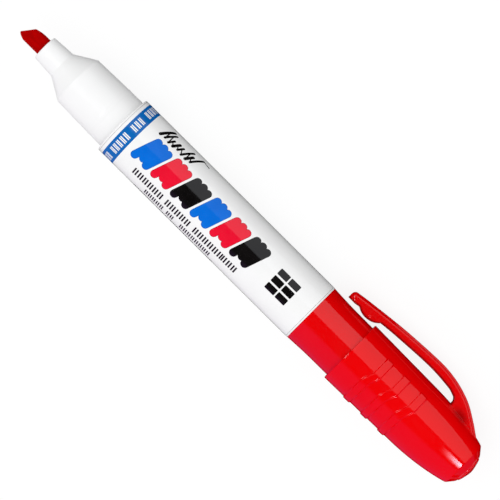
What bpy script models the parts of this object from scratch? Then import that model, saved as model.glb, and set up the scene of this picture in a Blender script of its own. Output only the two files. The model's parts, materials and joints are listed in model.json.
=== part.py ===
"""A felt tip marker with its cap pushed onto its tail, lying on a flat surface.

It lies along X with the nib towards +X. The cap's grip ribs and the edge of the pocket clip touch the
surface at Z = 0, which is how a round marker comes to rest: the clip stops it rolling.

Pieces are modelled about the marker's own axis, with the clip pointing up, and the empty marker_axis lays
the whole marker down. A station is a distance along the axis, + towards the nib, from the middle of the
marker's length. A depth is a distance into the cap, from its rim towards its closed end.
"""

import math

import bmesh
import bpy

MM = 0.001

# ---- Driving dimensions, in millimetres ----------------------------------------------------------------
STEPS = 48  # facets round a turned piece
FIT_GAP = 0.1  # between two pieces that are pressed together

# The nib, a round fibre rod.
NIB_TIP = 73.7  # station of its foremost point
NIB_REAR = 37.0
NIB_RADIUS = 2.27
NIB_REAR_CHAMFER = 0.6
NIB_EDGE_THICKNESS = 0.9  # across the chisel's writing edge
NIB_BARE_ROD = 0.6  # length of round rod between the nib tube and the chisel
NIB_CUT_ANGLE = 53.0  # between the writing edge and the axis, in degrees
NIB_HEEL_ANGLE = 20.0  # between the bevel under the point and the axis
NIB_POINT_DROP = 1.25  # how far the point is off the axis, away from the clip

# The nose: a nib tube, a cone and a neck that the cap grips.
TUBE_FRONT = 67.0
TUBE_RADIUS = 3.27
TUBE_FRONT_ROUND = 0.35
TUBE_REAR = 61.2
TUBE_REAR_RADIUS = 3.6
CONE_REAR = 56.0
NECK_FRONT_RADIUS = 6.7
CONE_BLEND = 0.3  # length of the small slopes that soften the cone's two edges
BEAD_STATION = 45.6  # a low ring that the cap snaps over
BEAD_RADIUS = 7.06
BEAD_HALF_WIDTH = 0.6
BEAD_FOOT_RADIUS = 6.96
NECK_REAR_RADIUS = 7.04
NOSE_REAR = 33.5
NIB_HOLDER_CLEARANCE = 1.2  # round the nib inside the cone

# The barrel, and the label sunk into its surface.
BARREL_FRONT = 41.3
BARREL_REAR = -20.9
BARREL_RADIUS = 8.0
BARREL_CHAMFER = 0.2
BORE_RADIUS = 7.1
LABEL_THICKNESS = 0.12
LABEL_GAP = 0.06
LABEL_MARGIN = 0.4  # bare barrel at each end of the label

# The ink reservoir, a fibre core in a film.
RESERVOIR_FRONT = 44.0
RESERVOIR_REAR = -48.0
RESERVOIR_RADIUS = 5.7
RESERVOIR_CLEARANCE = 0.5  # round it, inside the nose and the tail
RESERVOIR_NOSE_GAP = 1.0  # in front of it
FILM_THICKNESS = 0.12
FILM_MARGIN = 0.2  # bare fibre at each end of the film

# The tail plug.
TAIL_REAR = -55.0
TAIL_FRONT_RADIUS = 7.91
TAIL_SHOULDER = [(2.5, 7.8), (5.0, 7.7), (7.4, 7.65)]  # (length behind the front, radius)
TAIL_RADIUS = 7.63
TAIL_ROUND = [(0.9, 7.33), (0.25, 7.05), (0.0, 6.4)]  # (length in front of the rear, radius)
TAIL_WALL = 1.2
TAIL_CORNER = 0.6  # bevel inside, between wall and floor
TAIL_POST_RADIUS = 2.0
TAIL_POST_FOOT_RADIUS = 2.2
SPIGOT_LENGTH = 8.0

# The cap.
CAP_RIM = -33.7  # station of its rim
CAP_RIM_RADIUS = 8.51
CAP_RIM_CHAMFER = 0.12
CAP_TAPER = 0.0135  # radius lost for each millimetre of depth
CAP_CURL_START = 20.0  # depth where the side starts to curl in
CAP_CURL = 0.00434
CAP_CURL_POWER = 2.115
CAP_SIDE_DEPTHS = (22.5, 26.0, 29.0, 31.5, 33.7, 35.4)
CAP_SHOULDER = [(36.5, 6.35), (37.2, 5.87), (37.9, 5.15), (38.6, 4.2)]  # (depth, radius)
CAP_END_DEPTH = 38.75
CAP_END_RADIUS = 3.95
CAP_LENGTH = 40.0
CAP_MOUTH_RADIUS = 7.73
CAP_MOUTH_CHAMFER = (0.3, 0.17)  # depth and width
CAP_INSIDE = [(22.0, 7.42), (26.5, 7.05), (29.5, 6.75), (32.4, 6.15)]  # (depth, radius)

# The ribs run right across the clip's far side, and each takes a step on its way round.
RIB_DEPTHS = (7.3, 12.8, 18.3)
RIB_HEIGHT = 0.28
RIB_FOOT = 1.1  # half the width of a rib at its foot
RIB_TOP = 0.75  # and at its flat top
RIB_SHIFT = 1.0  # how far a rib steps away from the rim on its way to the clip
RIB_STEP_ANGLES = (86.0, 108.0)  # where it steps, in degrees from the clip
RIB_END_ANGLES = (50.0, 56.0)  # where it rises, in degrees from the clip

# The inner seal, a cup that closes round the nib tube, and the plug that closes the cap's end.
SEAL_MOUTH = 21.9  # depths in the cap
SEAL_REAR = 36.1
SEAL_INNER_RADIUS = 3.45
SEAL_OUTER_RADIUS = 4.3
SEAL_FLOOR_THICKNESS = 1.5
SEAL_ROUND = 0.3
PLUG_DOME = [(0.0, 3.5), (0.3, 3.48), (0.65, 3.0), (0.92, 2.1)]  # (length behind its edge, radius)
PLUG_CENTRE_RADIUS = 1.0
PLUG_CENTRE_DROP = 0.03
STEM_HOLE_RADIUS = 1.9

# The pocket clip, whose arm flexes about a line across its root.
CLIP_WIDTH = 4.8
CLIP_CROWN = 0.8  # height of the rounded outer edges
CLIP_TIP = -9.2  # depth of the clip's free end
CLIP_TIP_NARROWING = 0.4  # share of the width lost at the free end
CLIP_HINGE = 23.85  # depth of the line about which the arm flexes
CLIP_HINGE_RADIUS = 11.1
CLIP_HINGE_GAP = 0.3
CLIP_FUSED = 25.4  # behind this depth the clip stands on the cap
CLIP_SUNK = 0.5  # how far it sinks into the cap's wall there
CLIP_BUMP_DEPTH = -2.8  # the rounded grip under the arm
CLIP_BUMP_REACH = 3.1
CLIP_BUMP_HEIGHT = 1.2
CLIP_OUTER = [(-9.2, 10.2), (-7.5, 11.1), (-5.7, 11.38), (1.6, 12.2), (7.2, 12.74), (16.3, 13.21)]
CLIP_OUTER += [(20.0, 13.08), (24.0, 12.35), (28.2, 10.86), (32.4, 8.45), (35.0, 6.75)]
CLIP_INNER = [(-9.2, 8.7), (-6.2, 8.84), (1.6, 9.82), (7.2, 10.25), (16.3, 10.64), (22.6, 10.19)]
CLIP_INNER += [(24.0, 9.7), (24.7, 9.27), (25.2, 8.5)]
CLIP_TIP_DEPTHS = (-9.2, -8.9, -8.3, -7.4)
CLIP_BUMP_SECTIONS = 4  # on each side of the bump's middle
CLIP_ARM_DEPTHS = (1.6, 4.4, 7.2, 10.2, 13.2, 16.3, 18.4, 20.4, 22.2)
CLIP_ROOT_DEPTHS = (24.7, 25.2, 25.42, 26.8, 28.2, 29.6, 31.0, 32.4, 33.8, 35.0)


def smooth_step(low, high, value):
    """0 below low, 1 above high, and a smooth rise between."""
    t = min(max((value - low) / (high - low), 0.0), 1.0)
    return t * t * (3 - 2 * t)


def curve_at(points, x):
    """The height at x of a smooth curve through the points (x, height)."""
    last = len(points) - 1
    slopes = []
    for i in range(last + 1):
        before, after = points[max(i - 1, 0)], points[min(i + 1, last)]
        slopes.append((after[1] - before[1]) / (after[0] - before[0]))
    i = 0
    while i < last - 1 and x > points[i + 1][0]:
        i += 1
    (x0, y0), (x1, y1) = points[i], points[i + 1]
    width = x1 - x0
    t = min(max((x - x0) / width, 0.0), 1.0)
    rise = t * t * (3 - 2 * t)
    bend = t * (1 - t) * ((1 - t) * slopes[i] - t * slopes[i + 1]) * width
    return y0 + (y1 - y0) * rise + bend


def cap_radius(depth):
    """The cap's outer radius, without its ribs."""
    curl = max(depth - CAP_CURL_START, 0.0)
    return CAP_RIM_RADIUS - CAP_TAPER * depth - CAP_CURL * curl**CAP_CURL_POWER


# ---- How the marker lies --------------------------------------------------------------------------------
RIB_CREST = cap_radius(RIB_DEPTHS[0]) + RIB_HEIGHT
CLIP_TOP = max(radius for _, radius in CLIP_OUTER)
EDGE_SHARE = 0.3  # where the middle of the clip's rounded edge lies within the crown
EDGE_OUT = CLIP_TOP - EDGE_SHARE * CLIP_CROWN  # out from the axis
EDGE_ACROSS = CLIP_WIDTH / 2 - EDGE_SHARE * CLIP_CROWN  # and across the clip
CLIP_DROOP = math.asin(RIB_CREST / math.hypot(EDGE_OUT, EDGE_ACROSS)) - math.atan2(EDGE_ACROSS, EDGE_OUT)
CLIP_REACH = EDGE_OUT * math.cos(CLIP_DROOP) + EDGE_ACROSS * math.sin(CLIP_DROOP)
AXIS_Y = (CLIP_REACH - RIB_CREST) / 2
AXIS_Z = RIB_CREST


# ---- Scene helpers --------------------------------------------------------------------------------------
def clear_scene():
    for obj in list(bpy.data.objects):
        bpy.data.objects.remove(obj)


def new_collection(name):
    made = bpy.data.collections.new(name)
    bpy.context.scene.collection.children.link(made)
    return made


def plastic(name, colour, roughness):
    material = bpy.data.materials.new(name)
    material.use_nodes = True
    shader = material.node_tree.nodes["Principled BSDF"]
    shader.inputs["Base Color"].default_value = (*colour, 1.0)
    shader.inputs["Roughness"].default_value = roughness
    shader.inputs["Metallic"].default_value = 0.0
    return material


def add_object(name, mesh, parent, material=None):
    obj = bpy.data.objects.new(name, mesh)
    PARTS.objects.link(obj)
    obj.parent = parent
    if material:
        mesh.materials.append(material)
    return obj


def add_empty(name, location, parent=None):
    empty = add_object(name, None, parent)
    empty.location = location
    return empty


def add_helper(name, mesh, parent):
    """An object that only cuts or joins others, and isn't a piece itself."""
    obj = bpy.data.objects.new(name, mesh)
    CUTTERS.objects.link(obj)
    obj.parent = parent
    obj.hide_render = True
    obj.display_type = "WIRE"
    return obj


def turned(name, profile, parent, material, closed=True):
    """A solid of revolution about the axis. The profile holds (position along the axis, radius) from the
    front of the outer side to its rear and back inside."""
    points = [(radius * MM, 0, along * MM) for along, radius in profile]
    edges = [(i, i + 1) for i in range(len(points) - 1)]
    if closed:
        edges.append((len(points) - 1, 0))
    mesh = bpy.data.meshes.new(name)
    mesh.from_pydata(points, edges, [])
    obj = add_object(name, mesh, parent, material)
    obj.rotation_euler = (0, math.radians(90), 0)
    screw = obj.modifiers.new("turn", "SCREW")
    screw.steps = screw.render_steps = STEPS
    screw.use_merge_vertices = True
    screw.merge_threshold = 0.00001
    screw.use_smooth_shade = True
    return obj


def loft(name, sections, ends_meet):
    """A mesh whose skin runs through the sections, each a ring of as many points. The last section is joined
    to the first where ends_meet, and each end is closed by a flat face where not."""
    mesh = bpy.data.meshes.new(name)
    work = bmesh.new()
    rings = [[work.verts.new([value * MM for value in point]) for point in ring] for ring in sections]
    pairs = list(zip(rings, rings[1:]))
    if ends_meet:
        pairs.append((rings[-1], rings[0]))
    else:
        work.faces.new(rings[0])
        work.faces.new(rings[-1])
    for near, far in pairs:
        count = len(near)
        for i in range(count):
            j = (i + 1) % count
            work.faces.new((near[i], near[j], far[j], far[i]))
    bmesh.ops.recalc_face_normals(work, faces=work.faces)
    work.to_mesh(mesh)
    work.free()
    mesh.shade_smooth()
    mesh.set_sharp_from_angle(angle=math.radians(30))
    return mesh


def box_cutter(name, size, parent, location, rotation):
    """A box that a Boolean takes away, with size and location in millimetres."""
    mesh = bpy.data.meshes.new(name)
    work = bmesh.new()
    bmesh.ops.create_cube(work, size=1.0)
    bmesh.ops.scale(work, vec=[value * MM for value in size], verts=work.verts)
    work.to_mesh(mesh)
    work.free()
    obj = add_helper(name, mesh, parent)
    obj.location = [value * MM for value in location]
    obj.rotation_euler = rotation
    return obj


def boolean(obj, operation, other):
    modifier = obj.modifiers.new(other.name, "BOOLEAN")
    modifier.operation = operation
    modifier.object = other


# ---- The writing end ------------------------------------------------------------------------------------
def cut_nib(nib, word, angle, side):
    """Cuts the nib along a plane through its foremost point, at an angle from the axis, on the clip's side
    of the point (side 1) or on the far one (side -1)."""
    size = 5 * NIB_RADIUS
    tilt = math.radians(90 - angle)
    along = NIB_TIP + size / 2 * math.cos(tilt)
    up = -NIB_POINT_DROP + side * size / 2 * math.sin(tilt)
    box = box_cutter(f"nib_{word}", (size, size, 3 * size), marker_axis, (along, 0, up), (0, -side * tilt, 0))
    boolean(nib, "DIFFERENCE", box)


def add_nib():
    """A fibre rod, thinned to a chisel on two sides and cut off at a slant."""
    blank = NIB_TIP + NIB_RADIUS
    profile = [(blank, 0), (blank, NIB_RADIUS), (NIB_REAR + NIB_REAR_CHAMFER, NIB_RADIUS)]
    profile += [(NIB_REAR, NIB_RADIUS - NIB_REAR_CHAMFER), (NIB_REAR, 0)]
    nib = turned("nib", profile, marker_axis, plastic("nib_felt", (0.40, 0.004, 0.006), 0.9), closed=False)
    half_edge = NIB_EDGE_THICKNESS / 2
    taper = math.atan2(NIB_RADIUS - half_edge, NIB_TIP - TUBE_FRONT - NIB_BARE_ROD)
    size = 5 * NIB_RADIUS
    for side, word in ((1, "left"), (-1, "right")):
        # The box's inner face holds the line from the writing edge back to the rod's side.
        along = NIB_TIP + size / 2 * math.sin(taper)
        across = side * (half_edge + size / 2 * math.cos(taper))
        turn = (0, 0, -side * taper)
        box = box_cutter(f"nib_{word}", (2 * size, size, size), marker_axis, (along, across, 0), turn)
        boolean(nib, "DIFFERENCE", box)
    cut_nib(nib, "slant", NIB_CUT_ANGLE, 1)
    cut_nib(nib, "heel", NIB_HEEL_ANGLE, -1)


def add_nose_cone():
    spigot_radius = BORE_RADIUS - FIT_GAP
    cavity_radius = RESERVOIR_RADIUS + RESERVOIR_CLEARANCE
    cavity_front = RESERVOIR_FRONT + RESERVOIR_NOSE_GAP
    nib_bore = NIB_RADIUS + FIT_GAP
    holder_radius = nib_bore + NIB_HOLDER_CLEARANCE
    blend = CONE_BLEND
    outer = [(TUBE_FRONT, TUBE_RADIUS - TUBE_FRONT_ROUND), (TUBE_FRONT - TUBE_FRONT_ROUND, TUBE_RADIUS)]
    outer += [(TUBE_REAR + blend, TUBE_REAR_RADIUS), (TUBE_REAR - blend, TUBE_REAR_RADIUS + blend / 2)]
    outer += [(CONE_REAR + blend, NECK_FRONT_RADIUS - blend / 2), (CONE_REAR - blend, NECK_FRONT_RADIUS)]
    outer += [(BEAD_STATION + BEAD_HALF_WIDTH, BEAD_FOOT_RADIUS), (BEAD_STATION, BEAD_RADIUS)]
    outer += [(BEAD_STATION - BEAD_HALF_WIDTH, BEAD_FOOT_RADIUS)]
    outer += [(BARREL_FRONT + FIT_GAP, NECK_REAR_RADIUS), (BARREL_FRONT, spigot_radius)]
    outer += [(NOSE_REAR, spigot_radius)]
    inner = [(NOSE_REAR, cavity_radius), (cavity_front, cavity_radius), (cavity_front, holder_radius)]
    inner += [(CONE_REAR - 1, holder_radius), (CONE_REAR + 1, nib_bore), (TUBE_FRONT, nib_bore)]
    turned("nose_cone", outer + inner, marker_axis, plastic("nose_white", (0.87, 0.87, 0.87), 0.4))


# ---- The barrel and what it holds -----------------------------------------------------------------------
def add_barrel():
    under_label = BARREL_RADIUS - LABEL_THICKNESS - LABEL_GAP
    front, rear = BARREL_FRONT - LABEL_MARGIN, BARREL_REAR + LABEL_MARGIN
    outer = [(BARREL_FRONT, BARREL_RADIUS - BARREL_CHAMFER), (BARREL_FRONT - BARREL_CHAMFER, BARREL_RADIUS)]
    outer += [(front, BARREL_RADIUS), (front, under_label), (rear, under_label), (rear, BARREL_RADIUS)]
    outer += [(BARREL_REAR, BARREL_RADIUS)]
    inner = [(BARREL_REAR, BORE_RADIUS), (BARREL_FRONT, BORE_RADIUS)]
    turned("barrel", outer + inner, marker_axis, plastic("barrel_white", (0.88, 0.88, 0.88), 0.25))


def add_label():
    front, rear = BARREL_FRONT - LABEL_MARGIN - LABEL_GAP, BARREL_REAR + LABEL_MARGIN + LABEL_GAP
    inside = BARREL_RADIUS - LABEL_THICKNESS
    profile = [(front, BARREL_RADIUS), (rear, BARREL_RADIUS), (rear, inside), (front, inside)]
    turned("printed_label", profile, marker_axis, plastic("label_film", (0.9, 0.9, 0.9), 0.2))


def add_reservoir():
    """The fibre core, with the socket that the nib's rear is pressed into, and its film."""
    socket = NIB_RADIUS + FIT_GAP
    profile = [(NIB_REAR - FIT_GAP, 0), (NIB_REAR - FIT_GAP, socket), (RESERVOIR_FRONT, socket)]
    profile += [(RESERVOIR_FRONT, RESERVOIR_RADIUS), (RESERVOIR_REAR, RESERVOIR_RADIUS), (RESERVOIR_REAR, 0)]
    fibre = plastic("reservoir_fibre", (0.35, 0.005, 0.01), 0.95)
    turned("ink_reservoir", profile, marker_axis, fibre, closed=False)
    inside = RESERVOIR_RADIUS + LABEL_GAP
    outside = inside + FILM_THICKNESS
    front, rear = RESERVOIR_FRONT - FILM_MARGIN, RESERVOIR_REAR + FILM_MARGIN
    profile = [(front, outside), (rear, outside), (rear, inside), (front, inside)]
    turned("reservoir_film", profile, marker_axis, plastic("film", (0.8, 0.8, 0.8), 0.15))


def add_tail_plug():
    """A hollow plug. A post inside it keeps the reservoir pressed against the nib."""
    spigot_radius = BORE_RADIUS - FIT_GAP
    spigot_front = BARREL_REAR + SPIGOT_LENGTH
    front = BARREL_REAR - FIT_GAP
    cavity_radius = RESERVOIR_RADIUS + RESERVOIR_CLEARANCE
    floor = TAIL_REAR + TAIL_WALL
    post = RESERVOIR_REAR - 2 * FIT_GAP
    inner = [(post, 0), (post, TAIL_POST_RADIUS), (floor, TAIL_POST_FOOT_RADIUS)]
    inner += [(floor, cavity_radius - TAIL_CORNER), (floor + TAIL_CORNER, cavity_radius)]
    inner += [(spigot_front, cavity_radius)]
    outer = [(spigot_front, spigot_radius), (front, spigot_radius), (front, TAIL_FRONT_RADIUS)]
    outer += [(front - behind, radius) for behind, radius in TAIL_SHOULDER]
    outer += [(CAP_RIM, TAIL_RADIUS)]
    outer += [(TAIL_REAR + before, radius) for before, radius in TAIL_ROUND]
    outer += [(TAIL_REAR, 0)]
    # The closed rear has its centre on the axis, so the profile is one run from the post to the rear.
    turned("tail_plug", inner + outer, marker_axis, red_plastic, closed=False)


# ---- The cap --------------------------------------------------------------------------------------------
def rib_shift(angle):
    """How far the ribs stand from their depths towards the closed end, at an angle from the clip."""
    return RIB_SHIFT * (1 - smooth_step(*RIB_STEP_ANGLES, angle))


def cap_rows():
    """The rows round the cap's wall, from the rim over the outside to the end and back inside, as
    (depth, radius, share of the ribs' shift, share of the ribs' height)."""
    rows = [(0.0, CAP_RIM_RADIUS - CAP_RIM_CHAMFER, 0, 0), (CAP_RIM_CHAMFER, CAP_RIM_RADIUS, 0, 0)]
    before_ribs = RIB_DEPTHS[0] - 3 * RIB_FOOT
    rows.append((before_ribs, cap_radius(before_ribs), 0, 0))
    for depth in RIB_DEPTHS:
        for offset, height in ((-RIB_FOOT, 0), (-RIB_TOP, 1), (RIB_TOP, 1), (RIB_FOOT, 0)):
            rows.append((depth + offset, cap_radius(depth + offset), 1, height))
    rows += [(depth, cap_radius(depth), 0, 0) for depth in CAP_SIDE_DEPTHS]
    rows += [(depth, radius, 0, 0) for depth, radius in CAP_SHOULDER]
    rows.append((CAP_END_DEPTH, CAP_END_RADIUS, 0, 0))
    socket_rear = SEAL_REAR + FIT_GAP
    socket_radius = SEAL_OUTER_RADIUS + FIT_GAP
    chamfer_depth, chamfer_width = CAP_MOUTH_CHAMFER
    inner = [(CAP_END_DEPTH, STEM_HOLE_RADIUS), (socket_rear, STEM_HOLE_RADIUS), (socket_rear, socket_radius)]
    inner += [(CAP_INSIDE[-1][0], socket_radius)]
    inner += reversed(CAP_INSIDE)
    inner += [(chamfer_depth, CAP_MOUTH_RADIUS), (0.0, CAP_MOUTH_RADIUS + chamfer_width)]
    return rows + [(depth, radius, 0, 0) for depth, radius in inner]


def add_cap_shell():
    sections = []
    for depth, radius, shifted, height in cap_rows():
        ring = []
        for i in range(STEPS):
            turn = 2 * math.pi * i / STEPS
            angle = math.degrees(math.acos(math.cos(turn)))  # from the clip, on either side of it
            rib = RIB_HEIGHT * height * smooth_step(*RIB_END_ANGLES, angle)
            x = -depth - shifted * rib_shift(angle)
            ring.append((x, (radius + rib) * math.sin(turn), (radius + rib) * math.cos(turn)))
        sections.append(ring)
    shell = add_object("cap_shell", loft("cap_shell", sections, True), cap_axis, red_plastic)
    depths = (CLIP_HINGE + CLIP_HINGE_GAP / 2, *CLIP_ROOT_DEPTHS)
    root = loft("clip_root", [clip_section(depth, cap_axis) for depth in depths], False)
    boolean(shell, "UNION", add_helper("clip_root", root, cap_axis))


def clip_inner_radius(depth):
    if depth > CLIP_FUSED:
        return cap_radius(depth) - CLIP_SUNK
    bump = 1 - ((depth - CLIP_BUMP_DEPTH) / CLIP_BUMP_REACH) ** 2
    return curve_at(CLIP_INNER, depth) - CLIP_BUMP_HEIGHT * max(bump, 0.0)


def clip_section(depth, parent):
    """A section across the clip, with rounded outer edges, in the parent's own place."""
    x, z = (0.0, 0.0) if parent == cap_axis else (CLIP_HINGE, -CLIP_HINGE_RADIUS)
    outer, inner = curve_at(CLIP_OUTER, depth) + z, clip_inner_radius(depth) + z
    full = smooth_step(CLIP_TIP - CLIP_CROWN, CLIP_TIP + 2 * CLIP_CROWN, depth)
    half = CLIP_WIDTH / 2 * (1 - CLIP_TIP_NARROWING * (1 - full))
    crown = min(CLIP_CROWN, (outer - inner) / 2)
    side = [(half, inner), (half, outer - crown)]
    side.append((half - EDGE_SHARE * CLIP_CROWN, outer - EDGE_SHARE * crown))
    side.append((half - CLIP_CROWN, outer))
    ring = side + [(-y, height) for y, height in reversed(side)]
    return [(x - depth, y, height) for y, height in ring]


def add_pocket_clip():
    depths = list(CLIP_TIP_DEPTHS)
    for i in range(-CLIP_BUMP_SECTIONS, CLIP_BUMP_SECTIONS + 1):
        depths.append(CLIP_BUMP_DEPTH + CLIP_BUMP_REACH * i / CLIP_BUMP_SECTIONS)
    depths += [*CLIP_ARM_DEPTHS, CLIP_HINGE - CLIP_HINGE_GAP / 2]
    sections = [clip_section(depth, clip_hinge) for depth in depths]
    add_object("pocket_clip", loft("pocket_clip", sections, False), clip_hinge, red_plastic)


def add_cap_inner_seal():
    floor = SEAL_REAR - SEAL_FLOOR_THICKNESS
    small, corner = SEAL_ROUND, 2 * SEAL_ROUND
    inner = [(-floor, 0), (-floor, SEAL_INNER_RADIUS - corner), (-floor + corner, SEAL_INNER_RADIUS)]
    inner += [(-SEAL_MOUTH - small, SEAL_INNER_RADIUS), (-SEAL_MOUTH, SEAL_INNER_RADIUS + small)]
    outer = [(-SEAL_MOUTH, SEAL_OUTER_RADIUS - small), (-SEAL_MOUTH - small, SEAL_OUTER_RADIUS)]
    outer += [(-SEAL_REAR + small, SEAL_OUTER_RADIUS), (-SEAL_REAR, SEAL_OUTER_RADIUS - small)]
    outer.append((-SEAL_REAR, 0))
    natural = plastic("seal_natural", (0.8, 0.8, 0.76), 0.5)
    turned("cap_inner_seal", inner + outer, cap_axis, natural, closed=False)


def add_cap_end_plug():
    edge = -CAP_END_DEPTH - FIT_GAP
    stem = STEM_HOLE_RADIUS - FIT_GAP
    front = -SEAL_REAR - 2 * FIT_GAP
    profile = [(front, 0), (front, stem), (edge, stem)]
    profile += [(edge - behind, radius) for behind, radius in PLUG_DOME]
    profile += [(-CAP_LENGTH + PLUG_CENTRE_DROP, PLUG_CENTRE_RADIUS), (-CAP_LENGTH, 0)]
    turned("cap_end_plug", profile, cap_axis, red_plastic, closed=False)


clear_scene()
PARTS = new_collection("felt_tip_marker")
CUTTERS = new_collection("cutters")
red_plastic = plastic("red_plastic", (0.78, 0.0, 0.004), 0.2)

marker_axis = add_empty("marker_axis", (0, AXIS_Y * MM, AXIS_Z * MM))
marker_axis.rotation_euler = (math.radians(90) + CLIP_DROOP, 0, 0)
cap_axis = add_empty("cap_axis", (CAP_RIM * MM, 0, 0), marker_axis)
clip_hinge = add_empty("clip_hinge", (-CLIP_HINGE * MM, 0, CLIP_HINGE_RADIUS * MM), cap_axis)

add_nib()
add_nose_cone()
add_barrel()
add_label()
add_reservoir()
add_tail_plug()
add_cap_shell()
add_pocket_clip()
add_cap_inner_seal()
add_cap_end_plug()
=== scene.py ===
"""The looks of a felt tip marker that lies on a pale floor with its cap pushed onto its tail.

Every piece is modelled in millimetres about the marker's own axis: x is the station along the axis, + towards
the nib, y points out of the side that the camera sees, and z points towards the pocket clip. MARKER takes
such a point to its place in the frame. A depth is a distance into the cap, from its rim.
"""

import math

import bpy
from mathutils import Matrix, Vector
from mathutils.geometry import delaunay_2d_cdt
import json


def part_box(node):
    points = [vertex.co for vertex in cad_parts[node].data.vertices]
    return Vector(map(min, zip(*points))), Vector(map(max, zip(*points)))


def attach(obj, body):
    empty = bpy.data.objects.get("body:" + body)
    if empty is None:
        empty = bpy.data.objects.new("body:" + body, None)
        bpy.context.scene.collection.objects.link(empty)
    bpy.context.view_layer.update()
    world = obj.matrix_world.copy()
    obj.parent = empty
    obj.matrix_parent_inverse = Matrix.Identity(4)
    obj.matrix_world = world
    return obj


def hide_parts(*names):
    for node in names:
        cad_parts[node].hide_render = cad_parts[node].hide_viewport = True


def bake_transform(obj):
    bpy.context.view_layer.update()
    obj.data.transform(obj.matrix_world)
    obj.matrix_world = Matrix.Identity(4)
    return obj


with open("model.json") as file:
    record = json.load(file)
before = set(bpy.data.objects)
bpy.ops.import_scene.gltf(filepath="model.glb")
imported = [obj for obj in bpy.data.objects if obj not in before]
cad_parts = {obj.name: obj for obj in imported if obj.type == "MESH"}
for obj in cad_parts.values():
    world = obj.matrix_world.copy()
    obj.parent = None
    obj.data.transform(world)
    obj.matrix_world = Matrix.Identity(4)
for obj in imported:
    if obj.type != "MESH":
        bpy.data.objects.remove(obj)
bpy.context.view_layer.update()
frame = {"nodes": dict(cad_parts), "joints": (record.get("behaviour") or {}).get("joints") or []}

MM = 0.001


# ---- Where the marker lies ------------------------------------------------------------------------------
def joint_named(name):
    return next(joint for joint in frame["joints"] if joint["name"] == name)


def front(node):
    """The station of a node's end towards the nib."""
    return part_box(node)[1].x / MM


def rear(node):
    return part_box(node)[0].x / MM


AXIS_POINT = (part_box("barrel")[0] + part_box("barrel")[1]) / 2
ALONG = Vector((1, 0, 0))
TOWARDS_CAMERA = -Vector(joint_named("clip_flex")["axis"]).normalized()
TOWARDS_CLIP = ALONG.cross(TOWARDS_CAMERA)
MARKER = Matrix((ALONG, TOWARDS_CAMERA, TOWARDS_CLIP)).transposed().to_4x4()
MARKER.translation = (0, AXIS_POINT.y, AXIS_POINT.z)

NIB_TIP = front("nib")
TUBE_FRONT = front("nose_cone")
NOSE_REAR = rear("nose_cone")
BARREL_FRONT = front("barrel")
BARREL_REAR = rear("barrel")
LABEL_FRONT = front("printed_label")
LABEL_REAR = rear("printed_label")
TAIL_FRONT = front("tail_plug")
TAIL_REAR = rear("tail_plug")
CAP_RIM = front("cap_shell")
SEAL_MOUTH = front("cap_inner_seal")
SEAL_REAR = rear("cap_inner_seal")
PLUG_END = rear("cap_end_plug")
CLIP_TIP = CAP_RIM - front("pocket_clip")

# ---- Sizes, in millimetres ------------------------------------------------------------------------------
TURN_STEPS = 180  # facets round a turned piece
FILLET_STEPS = 5
HOLD = 0.12  # distance from a fillet to the ring that keeps its shading off the straight beside it

NIB_RADIUS = 2.25
TUBE_RADIUS = 3.27
TUBE_REAR_RADIUS = 3.6
NECK_FRONT_RADIUS = 6.72
NECK_RADIUS = 7.04
BORE_RADIUS = 7.1
BARREL_RADIUS = 8.0
LABEL_THICKNESS = 0.12
LABEL_LAP = 0.04  # how far the label's end stands over its start

CAP_RIM_RADIUS = 8.51
CAP_TAPER = 0.0135  # radius lost for each millimetre of depth
CAP_CURL_START = 20.0  # depth where the side starts to curl in
CAP_CURL = 0.0034
CAP_CURL_POWER = 2.246
CAP_MOUTH_RADIUS = 7.73

RIB_DEPTHS = (7.3, 12.8, 18.3)
RIB_HEIGHT = 0.28
RIB_HALF_WIDTH = 1.15
RIB_CORNER = 0.45  # radius of a rib's corners, seen from above
RIB_EDGE = 0.36  # width of the slope down its sides
RIB_SHIFT = 1.05  # how far a rib steps away from the rim on its way to the clip
RIB_STEP_ANGLES = (84.0, 110.0)  # where it steps, in degrees from the clip
RIB_END_ANGLE = 52.5  # where it ends, in degrees from the clip

CLIP_WIDTH = 4.8
CLIP_BUMP_DEPTH = -2.65
CLIP_BUMP_REACH = 3.1
CLIP_BUMP_HEIGHT = 1.17
CLIP_CORNER = 1.15  # radius of the corner at its tip
# The clip's outer and inner outlines, as (depth, distance from the axis).
CLIP_OUTER = [(-9.2, 10.95), (-7.5, 11.16), (-5.7, 11.42), (1.6, 12.27), (7.2, 12.78), (16.3, 13.22)]
CLIP_OUTER += [(20.0, 13.08), (24.0, 12.35), (28.2, 10.86), (32.4, 8.33), (34.0, 7.2), (35.0, 6.5)]
CLIP_OUTER += [(36.4, 5.5)]
CLIP_INNER = [(-9.2, 8.74), (-8.0, 8.67), (-7.1, 8.74), (-6.0, 8.92), (1.6, 9.82), (7.2, 10.25)]
CLIP_INNER += [(16.3, 10.64), (22.6, 10.19), (24.0, 9.74), (24.8, 9.31), (25.45, 8.2)]
CLIP_DOT_DEPTH = -2.45  # the small round mark on its sides
CLIP_DOT_HEIGHT = 9.08
CLIP_ROOT_DEPTH = 25.5  # where the arm ends, and the root that stands on the cap begins
CLIP_ROOT_FLARE = 0.06  # how far the root's foot turns out into the cap
ROOT_PAINTED_SHADE_DEPTH = 28.8  # where the painted shade in the corner between the clip's root and the cap is darkest


def smooth_step(low, high, value):
    """0 below low, 1 above high, and a smooth rise between."""
    t = min(max((value - low) / (high - low), 0.0), 1.0)
    return t * t * (3 - 2 * t)


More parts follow.
